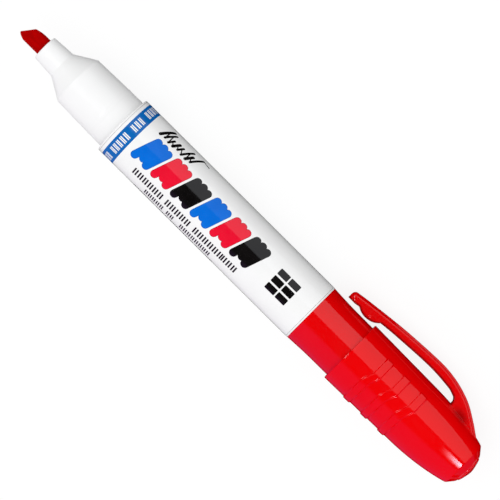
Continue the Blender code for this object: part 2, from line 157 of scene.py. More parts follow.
def curve_at(points, x):
    """The height at x of a smooth curve through the points (x, height)."""
    last = len(points) - 1
    slopes = []
    for i in range(last + 1):
        before, after = points[max(i - 1, 0)], points[min(i + 1, last)]
        slopes.append((after[1] - before[1]) / (after[0] - before[0]))
    i = 0
    while i < last - 1 and x > points[i + 1][0]:
        i += 1
    (x0, y0), (x1, y1) = points[i], points[i + 1]
    width = x1 - x0
    t = min(max((x - x0) / width, 0.0), 1.0)
    rise = t * t * (3 - 2 * t)
    bend = t * (1 - t) * ((1 - t) * slopes[i] - t * slopes[i + 1]) * width
    return y0 + (y1 - y0) * rise + bend


def steps(start, stop, size):
    """Numbers from start to stop, both included, about size apart."""
    count = max(1, round(abs(stop - start) / size))
    return [start + (stop - start) * i / count for i in range(count + 1)]


def cap_radius(depth):
    """The cap's outer radius, without its ribs."""
    curl = max(depth - CAP_CURL_START, 0.0)
    return CAP_RIM_RADIUS - CAP_TAPER * depth - CAP_CURL * curl**CAP_CURL_POWER


# ---- Node materials -------------------------------------------------------------------------------------
class Nodes:
    """A material's node tree, with short calls for the nodes that all of these materials use."""

    def __init__(self, name):
        self.material = bpy.data.materials.new(name)
        self.material.use_nodes = True
        self.tree = self.material.node_tree
        self.shader = self.tree.nodes["Principled BSDF"]
        self.place = self.add("ShaderNodeTexCoord").outputs["Object"]

    def add(self, kind, **settings):
        node = self.tree.nodes.new(kind)
        for key, value in settings.items():
            setattr(node, key, value)
        return node

    def link(self, source, target):
        self.tree.links.new(source, target)

    def set(self, **values):
        for name, value in values.items():
            self.shader.inputs[name.replace("_", " ")].default_value = value

    def stretched(self, x, y, z):
        """The object's own coordinates, in metres, times x, y and z."""
        mapping = self.add("ShaderNodeMapping")
        mapping.inputs["Scale"].default_value = (x, y, z)
        self.link(self.place, mapping.inputs["Vector"])
        return mapping.outputs["Vector"]

    def noise(self, vector, scale, detail=3.0, roughness=0.5):
        node = self.add("ShaderNodeTexNoise")
        node.inputs["Scale"].default_value = scale
        node.inputs["Detail"].default_value = detail
        node.inputs["Roughness"].default_value = roughness
        self.link(vector, node.inputs["Vector"])
        return node.outputs["Fac"]

    def spread(self, value, low, high):
        """A noise value, which lies mostly from 0.3 to 0.7, brought to run from low to high."""
        node = self.add("ShaderNodeMapRange")
        node.inputs["From Min"].default_value = 0.3
        node.inputs["From Max"].default_value = 0.7
        node.inputs["To Min"].default_value = low
        node.inputs["To Max"].default_value = high
        self.link(value, node.inputs["Value"])
        return node.outputs["Result"]

    def colours(self, value, first, second, painted_shade=None):
        """Colours from first to second as the noise value runs from 0.35 to 0.65, times a painted shade that
        the mesh carries in an attribute of that name: darkening painted into the colour where shade falls."""
        ramp = self.add("ShaderNodeValToRGB")
        for stop, place, colour in zip(ramp.color_ramp.elements, (0.35, 0.65), (first, second)):
            stop.position = place
            stop.color = (*colour, 1)
        self.link(value, ramp.inputs["Fac"])
        colour = ramp.outputs["Color"]
        if painted_shade:
            product = self.add("ShaderNodeVectorMath", operation="MULTIPLY")
            self.link(colour, product.inputs[0])
            self.link(self.add("ShaderNodeVertexColor", layer_name=painted_shade).outputs["Color"], product.inputs[1])
            colour = product.outputs["Vector"]
        self.link(colour, self.shader.inputs["Base Color"])

    def bump(self, *heights):
        """Bumps on the shader's normal, each a (height, depth in millimetres)."""
        below = None
        for height, depth in heights:
            node = self.add("ShaderNodeBump")
            node.inputs["Distance"].default_value = depth * MM
            node.inputs["Strength"].default_value = 1.0
            self.link(height, node.inputs["Height"])
            if below:
                self.link(below, node.inputs["Normal"])
            below = node.outputs["Normal"]
        self.link(below, self.shader.inputs["Normal"])


def moulded(name, first, second, roughness, waviness=0.0006, grain=0.0003, painted_shade=None, **values):
    """Injection-moulded plastic: a slow drift in tone and gloss, long soft waves where the surface shrank,
    and a fine grain from the mould."""
    nodes = Nodes(name)
    nodes.set(**{"IOR": 1.5, **values})
    # Where a painted shade is given, the colour is darkened by the painted shade that the mesh's points
    # carry.
    nodes.colours(nodes.noise(nodes.stretched(0.6, 1, 1), 55, detail=2.0), first, second, painted_shade)
    gloss = nodes.noise(nodes.stretched(0.5, 1, 1), 260, detail=4.0)
    nodes.link(nodes.spread(gloss, roughness * 0.85, roughness * 1.15), nodes.shader.inputs["Roughness"])
    waves = nodes.noise(nodes.stretched(0.4, 1, 1), 240, detail=1.0)
    fine = nodes.noise(nodes.place, 5200, detail=2.0)
    nodes.bump((waves, waviness), (fine, grain))
    return nodes.material


def felt(name, first, second):
    """Pressed fibres that run along the marker, damp with ink."""
    nodes = Nodes(name)
    nodes.set(IOR=1.33, Specular_IOR_Level=0.03)
    fibres = nodes.noise(nodes.stretched(0.14, 1, 1), 5200, detail=5.0, roughness=0.6)
    clumps = nodes.noise(nodes.stretched(0.35, 1, 1), 1100, detail=3.0)
    nodes.colours(clumps, first, second)
    nodes.link(nodes.spread(fibres, 0.62, 0.85), nodes.shader.inputs["Roughness"])
    nodes.bump((clumps, 0.02), (fibres, 0.03))
    return nodes.material


def film(name, first, second, roughness=0.1, specular=0.5):
    """A printed gloss film: the ink's tone drifts a little, and the film has a slight ripple."""
    nodes = Nodes(name)
    nodes.set(IOR=1.5, Specular_IOR_Level=specular)
    nodes.colours(nodes.noise(nodes.stretched(0.7, 1, 1), 320, detail=5.0), first, second)
    gloss = nodes.noise(nodes.place, 900, detail=3.0)
    nodes.link(nodes.spread(gloss, roughness * 0.8, roughness * 1.2), nodes.shader.inputs["Roughness"])
    ripple = nodes.noise(nodes.stretched(0.3, 1, 1), 160, detail=1.0)
    nodes.bump((ripple, 0.0005))
    return nodes.material


RED = moulded("red_polypropylene", (0.77, 0.0, 0.0008), (0.82, 0.0, 0.0012), 0.075)
# The cap and the clip multiply their colour by a painted shade that their points carry.
CAP_RED = moulded("cap_red_polypropylene", (0.77, 0.0, 0.0008), (0.82, 0.0, 0.0012), 0.075, painted_shade="painted_shade")
# The clip and its dots take a darker copy of the cap's red: painted shade on the clip, not a different
# plastic.
CLIP_SHADED_RED = moulded("clip_red_polypropylene_shaded", (0.68, 0.0, 0.0008), (0.73, 0.0, 0.0012), 0.09, painted_shade="painted_shade")
DOT_SHADED_RED = moulded("clip_dot_red_polypropylene_shaded", (0.7, 0.0, 0.0008), (0.75, 0.0, 0.0012), 0.09)
TAIL_RED = moulded("tail_red_polypropylene", (0.73, 0.0, 0.0008), (0.78, 0.0, 0.0012), 0.08, IOR=1.58)
NOSE_WHITE = moulded("white_polypropylene", (0.865, 0.867, 0.868), (0.885, 0.887, 0.888), 0.34, grain=0.0006,
                     Sheen_Weight=0.3, Sheen_Roughness=0.6)
TUBE_WHITE = moulded("white_tube", (0.87, 0.87, 0.87), (0.885, 0.885, 0.885), 0.22)
NATURAL = moulded("natural_polyethylene", (0.76, 0.76, 0.71), (0.82, 0.82, 0.78), 0.42, grain=0.0008)
NIB_FELT = felt("red_felt", (0.34, 0.0, 0.0), (0.42, 0.0, 0.0))
FIBRE_CORE = felt("ink_soaked_fibre", (0.28, 0.002, 0.006), (0.4, 0.006, 0.012))
CLEAR_FILM = film("reservoir_wrap", (0.74, 0.76, 0.78), (0.82, 0.83, 0.84))
PAPER_WHITE = film("label_white", (0.872, 0.874, 0.876), (0.888, 0.889, 0.89))
INK_BLUE = film("label_blue_ink", (0.001, 0.135, 0.63), (0.002, 0.15, 0.68), specular=0.2)
INK_DEEP_BLUE = film("label_deep_blue_ink", (0.002, 0.115, 0.42), (0.003, 0.13, 0.46), specular=0.3)
INK_RED = film("label_red_ink", (0.78, 0.003, 0.026), (0.82, 0.005, 0.03))
INK_DARK_RED = film("label_dark_red_ink", (0.42, 0.003, 0.02), (0.46, 0.005, 0.024))
INK_BLACK = film("label_black_ink", (0.0035, 0.003, 0.003), (0.006, 0.005, 0.005))


# ---- Building meshes ------------------------------------------------------------------------------------
def new_piece(name, points, faces, body, *materials):
    """A smooth-shaded piece from points in the marker's millimetres, riding on a body."""
    mesh = bpy.data.meshes.new(name)
    mesh.from_pydata([MARKER @ (Vector(point) * MM) for point in points], [], faces)
    for material in materials:
        mesh.materials.append(material)
    mesh.shade_smooth()
    piece = bpy.data.objects.new(name, mesh)
    bpy.context.scene.collection.objects.link(piece)
    if body:
        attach(piece, body)
    return piece


def fillet(before, corner, after, radius):
    """The points of a round corner, as 2D vectors."""
    back, ahead = before - corner, after - corner
    half = back.angle(ahead) / 2
    reach = min(radius / math.tan(half), 0.45 * back.length, 0.45 * ahead.length)
    radius = reach * math.tan(half)
    centre = corner + (back.normalized() + ahead.normalized()).normalized() * (radius / math.sin(half))
    start = corner + back.normalized() * reach - centre
    end = corner + ahead.normalized() * reach - centre
    sweep = start.angle_signed(end)
    return [centre + Matrix.Rotation(-sweep * i / FILLET_STEPS, 2) @ start for i in range(FILLET_STEPS + 1)]


def outline(corners, closed=False):
    """A profile through corners (station, radius, fillet), with each fillet as an arc held by a point on
    either side of it."""
    places = [Vector(corner[:2]) for corner in corners]
    path = []
    for i, corner in enumerate(corners):
        size = corner[2] if len(corner) > 2 else 0
        if not size or (not closed and i in (0, len(corners) - 1)):
            path.append(places[i])
            continue
        before, after = places[i - 1], places[(i + 1) % len(places)]
        arc = fillet(before, places[i], after, size)
        for end, far in ((arc[0], before), (arc[-1], after)):
            gap = far - end
            if gap.length > 3 * HOLD:
                held = end + gap.normalized() * HOLD
                arc = [held] + arc if end == arc[0] else arc + [held]
        path += arc
    return path


def turned(name, corners, body, material, closed=True):
    """A solid of revolution about the marker's axis, from the corners of its profile."""
    path = outline(corners, closed)
    points, rings = [], []
    for station, radius in path:
        count = TURN_STEPS if radius > 1e-6 else 1
        rings.append(range(len(points), len(points) + count))
        for i in range(count):
            turn = 2 * math.pi * i / TURN_STEPS
            points.append((station, radius * math.sin(turn), radius * math.cos(turn)))
    pairs = list(zip(rings, rings[1:]))
    if closed:
        pairs.append((rings[-1], rings[0]))
    faces = []
    for near, far in pairs:
        for i in range(TURN_STEPS):
            j = (i + 1) % TURN_STEPS
            if len(near) == 1:
                faces.append((near[0], far[j], far[i]))
            elif len(far) == 1:
                faces.append((near[i], near[j], far[0]))
            else:
                faces.append((near[i], near[j], far[j], far[i]))
    return new_piece(name, points, faces, body, material)


def lofted(name, rings, body, material, ends_meet=False):
    """A skin through rings of as many points each. Its ends are joined to each other, or closed by a face."""
    count = len(rings[0])
    points = [point for ring in rings for point in ring]
    faces = []
    pairs = list(zip(range(len(rings)), range(1, len(rings))))
    if ends_meet:
        pairs.append((len(rings) - 1, 0))
    else:
        faces += [tuple(range(count)), tuple(range(len(points) - 1, len(points) - count - 1, -1))]
    for near, far in pairs:
        for i in range(count):
            j = (i + 1) % count
            faces.append((near * count + j, near * count + i, far * count + i, far * count + j))
    return new_piece(name, points, faces, body, material)


# ---- The writing end ------------------------------------------------------------------------------------
NIB_TOP = [(60.0, 2.27), (68.4, 2.24), (69.6, 2.13), (70.5, 1.93), (71.6, 1.65)]  # (station, height)
NIB_POINT_HEIGHT = -1.25
NIB_HEEL = 1.75  # how far the heel's curve runs back from the point
NIB_SLANT = math.radians(53)  # between the writing edge and the axis
NIB_EDGE = 0.45  # half the thickness of the writing edge
NIB_BEVEL_REAR = 67.6  # station where the chisel's broad faces start


def nib_front(height):
    """The station where the nib ends, at a height: the slanted edge above its point, a curved heel below."""
    if height > NIB_POINT_HEIGHT:
        return NIB_TIP - 0.1 - (height - NIB_POINT_HEIGHT) / math.tan(NIB_SLANT)
    below = (NIB_POINT_HEIGHT - height) / (NIB_RADIUS + NIB_POINT_HEIGHT)
    return NIB_TIP - 0.1 - NIB_HEEL * min(below, 1.0) ** 2


def nib_half_thickness(station):
    share = max(station - NIB_BEVEL_REAR, 0.0) / (NIB_TIP - NIB_BEVEL_REAR)
    return NIB_RADIUS + (NIB_EDGE - NIB_RADIUS) * share


def soft_minimum(first, second, sharpness=8):
    """The smaller of two lengths, rounded off where they are nearly the same."""
    if min(first, second) < 0.01:
        return min(first, second)
    return (first**-sharpness + second**-sharpness) ** (-1 / sharpness)


def add_nib():
    """A round fibre rod, thinned to a chisel on two sides and cut off at a slant."""
    around = 120
    start = 61.0
    rings = []
    for share in [*steps(0, 0.9, 0.02), *steps(0.91, 0.995, 0.01), 1.0]:
        ring = []
        for i in range(around):
            turn = 2 * math.pi * i / around
            height = NIB_RADIUS * math.cos(turn)
            station = start + share * (nib_front(height) - start)
            if height > 0:
                height = soft_minimum(height, curve_at(NIB_TOP, station), 24)
            side = soft_minimum(NIB_RADIUS * abs(math.sin(turn)), nib_half_thickness(station))
            ring.append((station, math.copysign(side, math.sin(turn)), height))
        rings.append(ring)
    edge = rings[-1]
    for advance, narrowed in ((0.06, 0.88), (0.09, 0.62)):
        rings.append([(x + advance, y * narrowed, z * (0.4 + 0.6 * narrowed**0.25)) for x, y, z in edge])
    nib = lofted("nib_chisel", rings, "marker", NIB_FELT)
    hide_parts("nib")


def add_nose():
    cavity = 6.2
    holder = 3.57
    bore = 2.33
    corners = [(TUBE_FRONT, bore, 0.15), (TUBE_FRONT, TUBE_RADIUS, 0.32), (61.2, TUBE_REAR_RADIUS, 0.5)]
    corners += [(56.0, NECK_FRONT_RADIUS, 0.6), (46.35, 6.955, 0.3), (45.95, 7.03, 0.15), (45.4, 7.03, 0.15)]
    corners += [(45.0, 6.965, 0.3), (BARREL_FRONT + 0.55, NECK_RADIUS), (BARREL_FRONT + 0.4, 6.98, 0.05)]
    corners += [(BARREL_FRONT + 0.12, 6.98, 0.05), (BARREL_FRONT, NECK_RADIUS), (NOSE_REAR, NECK_RADIUS)]
    corners += [(NOSE_REAR, cavity), (45.0, cavity), (45.0, holder), (55.0, holder), (57.0, bore)]
    nose = turned("nose_moulding", corners, "marker", NOSE_WHITE)
    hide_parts("nose_cone")


# ---- The barrel and its label ---------------------------------------------------------------------------
def add_barrel():
    under = BARREL_RADIUS - LABEL_THICKNESS - 0.06
    corners = [(BARREL_FRONT, BORE_RADIUS, 0.12), (BARREL_FRONT, BARREL_RADIUS, 0.22)]
    corners += [(LABEL_FRONT + 0.06, BARREL_RADIUS, 0.03), (LABEL_FRONT + 0.06, under)]
    corners += [(LABEL_REAR - 0.06, under), (LABEL_REAR - 0.06, BARREL_RADIUS, 0.03)]
    corners += [(BARREL_REAR, BARREL_RADIUS, 0.05), (BARREL_REAR, BORE_RADIUS)]
    barrel = turned("barrel_tube", corners, "marker", TUBE_WHITE)
    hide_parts("barrel")


# The artwork lies on the flat label: u is the station, and v the distance round the barrel from the side that
# the camera sees, + towards the clip.
ART_SLANT = 0.344  # how far a slanted stroke leans towards the tail, for each millimetre round the barrel
ROW_LOW, ROW_HIGH = -3.95, 4.1
ROW_LINE = 0.13  # thickness of the dark line round the row's strokes
ROW_START = 35.0  # the front edge of the row's first swatch
SWATCH_PITCH = 6.45
STROKE_WIDTH = 1.75
STROKE_SHARES = (1.0, -0.9, 0.95)  # a swatch's strokes, as shares of the row's height; < 0 hangs from its top
INK_LINE = {INK_BLUE: INK_DEEP_BLUE, INK_RED: INK_DARK_RED, INK_BLACK: INK_BLACK}
HALF_ROUND = math.pi * BARREL_RADIUS
LAP_START = HALF_ROUND - 1.36  # the label's end rises onto its start from here
LAP_END = HALF_ROUND - 1.3


def on_barrel(u, v, radius):
    """A point of the flat artwork, wound round the barrel at a radius."""
    turn = v / BARREL_RADIUS
    return Vector((u, radius * math.cos(turn), radius * math.sin(turn)))


def counter_clockwise(path):
    area = sum(a.cross(b) for a, b in zip(path, path[1:] + path[:1]))
    return path if area > 0 else path[::-1]


def stadium(start, end, width, corner_steps=7):
    """The outline of a straight stroke with round ends."""
    start, end = Vector(start), Vector(end)
    way = (end - start).normalized() * (width / 2)
    path = []
    for centre, turn in ((end, -90), (start, 90)):
        for i in range(corner_steps + 1):
            angle = math.radians(turn + 180 * i / corner_steps)
            path.append(centre + Matrix.Rotation(-angle, 2) @ way)
    return path


def slanted_stroke(u, low, high, width, margin=0.0):
    """A stroke whose foot's front edge is at station u, leaning towards the tail as it rises."""
    foot = (u - width / 2, low + width / 2)
    head = (foot[0] - ART_SLANT * (high - low - width), high - width / 2)
    return stadium(foot, head, width - 2 * margin)


def rounded_box(u_front, u_rear, low, high, corner=0.15):
    """A block with round corners, seen flat."""
    corners = [(u_front, low, corner), (u_front, high, corner), (u_rear, high, corner), (u_rear, low, corner)]
    path = []
    for i, place in enumerate(corners):
        near, far = Vector(corners[i - 1][:2]), Vector(corners[(i + 1) % 4][:2])
        path += fillet(near, Vector(place[:2]), far, corner)[::2]
    return path


def swatch(u, ink):
    """Painted strokes that run into each other, with a thin dark line round them all."""
    lines, fills = [], []
    for i, share in enumerate(STROKE_SHARES):
        height = (ROW_HIGH - ROW_LOW) * abs(share)
        low = ROW_LOW if share > 0 else ROW_HIGH - height
        front_edge = u - i * (STROKE_WIDTH + 0.1) - ART_SLANT * (low - ROW_LOW)
        lines.append((slanted_stroke(front_edge, low, low + height, STROKE_WIDTH + 0.3), INK_LINE[ink]))
        fills.append((slanted_stroke(front_edge, low, low + height, STROKE_WIDTH + 0.3, ROW_LINE), ink))
    return lines + fills


def painted_row():
    """A row of even swatches, each of three slanted strokes, that goes through the inks twice."""
    shapes = []
    for i, ink in enumerate((INK_BLUE, INK_RED, INK_BLACK) * 2):
        shapes += swatch(ROW_START - SWATCH_PITCH * i, ink)
    return shapes


def scribble():
    """A zigzag brush line above the row."""
    heights = (4.2, 3.4, 1.7, 2.0, 1.7, 3.7, 2.2, 3.9)
    pitch = 1.36
    feet = [(33.2 - i * pitch, 5.1 + 0.2 * math.sin(2 * i)) for i in range(len(heights))]
    shapes = []
    for i, (foot, height) in enumerate(zip(feet, heights)):
        head = (foot[0] - 0.55 * height, foot[1] + height)
        shapes.append((stadium(foot, head, 0.62 if i % 3 else 0.8), INK_BLACK))
        turn = (head[0] + 0.16 * height, head[1] - 0.3 * height)
        if i + 1 < len(feet):
            shapes.append((stadium(turn, feet[i + 1], 0.3), INK_BLACK))
    shapes.append((stadium(head, (head[0] - 1.9, head[1] - 0.5), 0.34), INK_BLACK))
    return shapes


def bar_line(groups, low, high, pitch):
    """A line of pairs of thin upright bars, in groups of (station, pairs)."""
    shapes = []
    for u, count in groups:
        for i in range(2 * count):
            front_edge = u - (i // 2) * pitch - (i % 2) * 0.46 * pitch
            shapes.append((rounded_box(front_edge, front_edge - 0.27 * pitch, low, high, 0.06), INK_BLACK))
    return shapes


def end_blocks():
    """Two columns of three blocks each at the tail end of the row."""
    shapes = []
    for u in (-8.9, -12.25):
        for low in (-3.5, -1.3, 0.9):
            shapes.append((rounded_box(u, u - 3.0, low, low + 1.75, 0.2), INK_BLACK))
    return shapes


def colour_band():
    """A blue band right round the barrel's front, with white marks on it."""
    band_front, band_rear = LABEL_FRONT - 0.85, LABEL_FRONT - 4.3
    edge = HALF_ROUND
    corners = [(band_front, -edge), (band_front, edge), (band_rear, edge), (band_rear, -edge)]
    shapes = [([Vector(corner) for corner in corners], INK_DEEP_BLUE)]
    middle = (band_front + band_rear) / 2
    pitch = 2 * HALF_ROUND / 40
    place = -HALF_ROUND + 0.8 * pitch
    for count in (3, 5, 3, 5, 3, 5, 3, 5):
        for _ in range(count):
            for low in (place, place + 0.36 * pitch):
                mark = rounded_box(middle + 1.0, middle - 1.0, low, low + 0.24 * pitch, 0.06)
                shapes.append((mark, PAPER_WHITE))
            place += pitch
        place += pitch
    return shapes


def add_label():
    """The film with its print: one skin cut along the outlines of the artwork and wound round the barrel."""
    inks = [PAPER_WHITE, INK_BLUE, INK_DEEP_BLUE, INK_RED, INK_DARK_RED, INK_BLACK]
    shapes = colour_band() + painted_row() + scribble() + end_blocks()
    shapes += bar_line(((31.7, 6), (21.2, 5), (12.1, 6), (2.8, 3)), -7.1, -5.1, 1.6)
    shapes += bar_line(((26.6, 5), (19.5, 2), (15.1, 8)), -9.9, -8.0, 1.24)
    shapes += bar_line(((29.6, 7), (22.2, 4), (17.6, 8), (9.5, 6)), -12.1, -10.8, 0.96)
    columns = 144
    points, edges, outlines = [], [], []
    lines = [-HALF_ROUND + 2 * HALF_ROUND * i / columns for i in range(columns + 1)]
    for v in lines + [LAP_START, LAP_END]:
        points += [Vector((LABEL_FRONT, v)), Vector((LABEL_REAR, v))]
        edges.append((len(points) - 2, len(points) - 1))
    for u in steps(LABEL_FRONT, LABEL_REAR, 3.0):
        points += [Vector((u, -HALF_ROUND)), Vector((u, HALF_ROUND))]
        edges.append((len(points) - 2, len(points) - 1))
    for path, _ in shapes:
        outlines.append(range(len(points), len(points) + len(path)))
        points += counter_clockwise([Vector((u, max(-HALF_ROUND, min(v, HALF_ROUND)))) for u, v in path])
    flat, _, triangles, _, _, within = delaunay_2d_cdt(points, edges, outlines, 0, 1e-6, True)

    wound = []
    for u, v in flat:
        lift = LABEL_LAP * min(max((v - LAP_START) / (LAP_END - LAP_START), 0.0), 1.0)
        wound.append(on_barrel(u, v, BARREL_RADIUS + lift))
    faces, tones, facings = [], [], []

    def add_face(corners, tone, facing):
        faces.append(corners)
        tones.append(tone)
        facings.append(facing)

    for triangle, owners in zip(triangles, within):
        tone = inks.index(shapes[max(owners)][1]) if owners else 0
        add_face(tuple(reversed(triangle)), tone, [on_barrel(0, flat[i][1], 1) for i in reversed(triangle)])
    # The inner side, the two rims and the small step where the label laps over itself.
    inside = BARREL_RADIUS - LABEL_THICKNESS
    sides = [sorted((i for i, place in enumerate(flat) if abs(place[0] - u) < 1e-5), key=lambda i: flat[i][1])
             for u in (LABEL_FRONT, LABEL_REAR)]
    turns = [flat[i][1] for i in sides[0]]
    rings = []
    for u in (LABEL_FRONT, LABEL_REAR):
        start = len(wound)
        wound += [on_barrel(u, v, inside) for v in turns[:-1]]
        rings.append([*range(start, len(wound)), start])
    for a in range(len(turns) - 1):
        b = a + 1
        ahead = [Vector((1, 0, 0))] * 4
        add_face((sides[0][b], sides[0][a], rings[0][a], rings[0][b]), 0, ahead)
        add_face((sides[1][a], sides[1][b], rings[1][b], rings[1][a]), 0, [-way for way in ahead])
        inward = [-on_barrel(0, turns[i], 1) for i in (a, a, b, b)]
        add_face((rings[0][a], rings[1][a], rings[1][b], rings[0][b]), 0, inward)
    ends = [sorted((i for i, place in enumerate(flat) if abs(place[1] - v) < 1e-5), key=lambda i: flat[i][0])
            for v in (-HALF_ROUND, HALF_ROUND)]
    for low_a, low_b, high_a, high_b in zip(ends[0], ends[0][1:], ends[1], ends[1][1:]):
        add_face((low_a, low_b, high_b, high_a), 0, [on_barrel(0, HALF_ROUND * 1.5, 1)] * 4)

    label = new_piece("label_film", wound, faces, None, *inks)
    for face, tone in zip(label.data.polygons, tones):
        face.material_index = tone
    turning = MARKER.to_3x3()
    label.data.set_sharp_from_angle(angle=math.radians(50))
    label.data.normals_split_custom_set([turning @ way for facing in facings for way in facing])
    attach(label, "marker")
    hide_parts("printed_label")


def add_tail():
    floor = TAIL_REAR + 1.2
    corners = [(-48.2, 0), (-48.2, 2.0, 0.2), (floor, 2.2, 0.3), (floor, 6.2, 0.8), (TAIL_FRONT, 6.2)]
    corners += [(TAIL_FRONT, 7.0, 0.2), (BARREL_REAR - 0.02, 7.0), (BARREL_REAR - 0.02, 7.93, 0.08)]
    corners += [(-23.5, 7.8, 2.0), (-26.0, 7.7, 2.0), (-28.4, 7.65, 2.0), (CAP_RIM, 7.63, 2.0)]
    corners += [(TAIL_REAR + 0.6, 7.33, 0.3), (TAIL_REAR, 6.9, 0.5), (TAIL_REAR, 0)]
    tail = turned("tail_moulding", corners, "marker", TAIL_RED, closed=False)
    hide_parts("tail_plug")


# ---- The cap --------------------------------------------------------------------------------------------
def rib_shift(angle):
    return RIB_SHIFT * (1 - smooth_step(*RIB_STEP_ANGLES, angle))


def rib_rise(offset, angle):
    """A rib's height above the cap, from 0 to 1, at a distance along the cap from its middle and an angle."""
    beyond = math.radians(angle - RIB_END_ANGLE) * CAP_RIM_RADIUS
    across = abs(offset) - RIB_HALF_WIDTH + RIB_CORNER
    past = RIB_CORNER - beyond
    outside = math.hypot(max(across, 0.0), max(past, 0.0)) + min(max(across, past), 0.0) - RIB_CORNER
    return 1 - smooth_step(-RIB_EDGE, 0.0, outside)


def cap_outside():
    """The rows of the cap's outer side: (depth, share of the ribs' shift)."""
    rows = [(depth, 0.0) for depth in steps(0.35, 4.0, 0.8)]
    rows += [(depth, smooth_step(4.0, 5.8, depth)) for depth in steps(4.3, 5.8, 0.3)]
    rows += [(depth, 1.0) for depth in steps(5.9, 20.6, 0.08)]
    rows += [(depth, 1.0 - smooth_step(20.6, 23.0, depth)) for depth in steps(20.9, 23.0, 0.3)]
    return rows + [(depth, 0.0) for depth in steps(23.4, 36.4, 0.4)]


def painted_root_shade(depth, distance):
    """How much colour a painted shade leaves at a distance from the corner between the clip's root and the
    cap.
    """
    along = 1 - smooth_step(0.4, 3.0, abs(depth - ROOT_PAINTED_SHADE_DEPTH))
    return 1 - 0.42 * along * (1 - smooth_step(0.4, 2.0, distance))


# Painted shade on the cap beside the clip's root.
def cap_painted_shade(point):
    return painted_root_shade(CAP_RIM - point.x, 0.75 * (abs(point.y) - CLIP_WIDTH / 2) if point.z > 0 else 9.0)


def paint_shade_on_points(piece, painted_shade_at):
    """Gives a piece's points the painted shade that its material multiplies its colour by: darkening painted
    where shade falls.
    """
    back = MARKER.inverted()
    painted_shades = []
    for vertex in piece.data.vertices:
        painted_shades += [painted_shade_at((back @ vertex.co) / MM)] * 3 + [1.0]
    piece.data.color_attributes.new("painted_shade", "FLOAT_COLOR", "POINT").data.foreach_set("color", painted_shades)


def add_cap_shell():
    around = 288
    angles = [2 * math.pi * i / around for i in range(around)]
    degrees = [math.degrees(math.acos(math.cos(turn))) for turn in angles]  # from the clip, either way

    def ring(depth, radius, shifted=0.0, ribs=False):
        made = []
        for turn, angle in zip(angles, degrees):
            true_depth = depth + shifted * rib_shift(angle)
            reach = radius if radius else cap_radius(true_depth)
            if ribs:
                nearest = min(RIB_DEPTHS, key=lambda middle: abs(middle - depth))
                reach += RIB_HEIGHT * rib_rise(depth - nearest, angle)
            made.append((CAP_RIM - true_depth, reach * math.sin(turn), reach * math.cos(turn)))
        return made

    # Profiles of (depth, radius, fillet).
    rim = outline([(22.0, 7.42), (0.0, CAP_MOUTH_RADIUS, 0.22), (0.0, CAP_RIM_RADIUS, 0.16),
                   (0.5, CAP_RIM_RADIUS)])
    end = outline([(36.4, cap_radius(36.4)), (37.2, 5.95, 0.8), (38.55, 4.3, 0.4), (38.85, 3.82, 0.1),
                   (38.6, 3.72, 0.1), (38.6, 1.9)])
    inside = outline([(38.6, 1.9), (36.2, 1.9), (36.2, 4.4), (32.4, 4.4), (32.4, 6.15, 0.5),
                      (29.5, 6.75, 3.0), (26.5, 7.05, 3.0), (22.0, 7.42)])
    rings = [ring(depth, radius) for depth, radius in rim[1:-2]]
    rings += [ring(depth, 0, shifted, 5.5 < depth < 20.8) for depth, shifted in cap_outside()]
    rings += [ring(depth, radius) for depth, radius in end[1:-1]]
    rings += [ring(depth, radius) for depth, radius in inside]
    shell = lofted("cap_moulding", rings, "cap", CAP_RED, ends_meet=True)
    # Paints shade into the cap's colour beside the clip's root.
    paint_shade_on_points(shell, cap_painted_shade)
    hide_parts("cap_shell")


def add_cap_end():
    """The small domed disc that closes the cap, standing a little proud of a groove round it."""
    corners = [(SEAL_REAR - 0.15, 0), (SEAL_REAR - 0.15, 1.8), (CAP_RIM - 38.65, 1.8)]
    corners += [(CAP_RIM - 38.65, 3.64), (CAP_RIM - 39.12, 3.46, 0.4), (CAP_RIM - 39.42, 2.55, 1.5)]
    corners += [(CAP_RIM - 39.68, 1.5, 3.0), (CAP_RIM - 39.84, 0.7, 2.0), (PLUG_END + 0.08, 0)]
    plug = turned("cap_end_disc", corners, "cap", RED, closed=False)
    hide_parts("cap_end_plug")


def add_seal():
    floor = SEAL_REAR + 1.5
    corners = [(floor, 0), (floor, 3.45, 0.5), (SEAL_MOUTH, 3.45, 0.3), (SEAL_MOUTH, 4.3, 0.3)]
    corners += [(SEAL_REAR, 4.3, 0.3), (SEAL_REAR, 0)]
    seal = turned("cap_seal_cup", corners, "seal", NATURAL, closed=False)
    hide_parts("cap_inner_seal")


# The clip's section runs from its outer face over the edge and down its side. Each place is (distance inward
# from the outer outline, distance in from the clip's side). A groove runs along the edge, and a flat terrace
# of changing width lies before the groove, between the two places of TERRACE.
TERRACE = [(0.465, 0.306), (0.47, 0.302)]
EDGE_SECTION = [(0.0, 0.86), (0.03, 0.66), (0.09, 0.52), (0.14, 0.475), (0.29, 0.4), (0.42, 0.335)]
EDGE_SECTION += [(0.46, 0.31), *TERRACE, (0.49, 0.27), (0.56, 0.18), (0.64, 0.085), (0.67, 0.06)]
EDGE_SECTION += [(0.71, 0.05), (0.8, 0.028), (0.9, 0.006), (0.94, 0.0), (0.98, 0.0)]
CLIP_UNDER_EDGE = 0.3  # radius of the edges along the clip's inner side


def clip_inner_radius(depth):
    off = (depth - CLIP_BUMP_DEPTH) / CLIP_BUMP_REACH
    bump = 1 - (off**2 if off < 0 else abs(off) ** 2.6)
    return curve_at(CLIP_INNER, depth) - CLIP_BUMP_HEIGHT * max(bump, 0.0)


